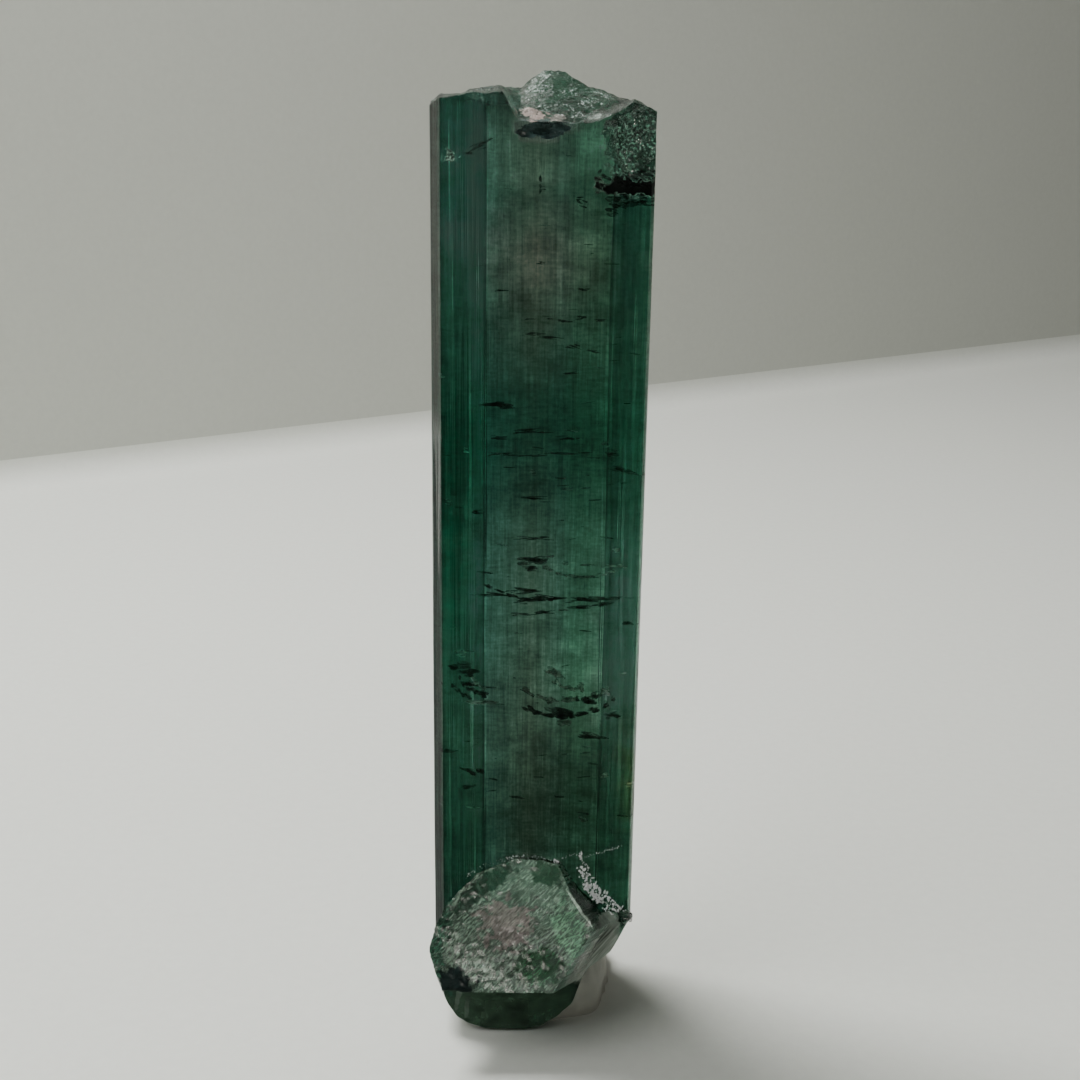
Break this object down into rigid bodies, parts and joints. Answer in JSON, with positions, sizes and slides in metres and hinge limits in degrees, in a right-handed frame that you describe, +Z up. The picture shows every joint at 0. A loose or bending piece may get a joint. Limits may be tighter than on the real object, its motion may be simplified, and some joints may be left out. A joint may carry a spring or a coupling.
{
  "type": "tourmaline crystal",
  "caption": "Upright green tourmaline crystal with striated sides, a chipped top and a broken side crystal at its foot, held by a lump of mineral tack.",
  "frame": {"origin": "under the middle of the whole specimen, on the surface it stands on", "axes": "+Z up along the prism, -Y out of its broad front face, +X to the right seen from the front"},
  "size_m": [0.0102, 0.0126, 0.0478],
  "materials": {
    "tourmaline": "clear dark green crystal, striated and glossy on its sides, sugary on its breaks",
    "tack": "matt warm grey putty"
  },
  "bodies": {
    "root": {"tourmaline_crystal": "tourmaline", "mineral_tack": "tack"}
  },
  "joints": []
}
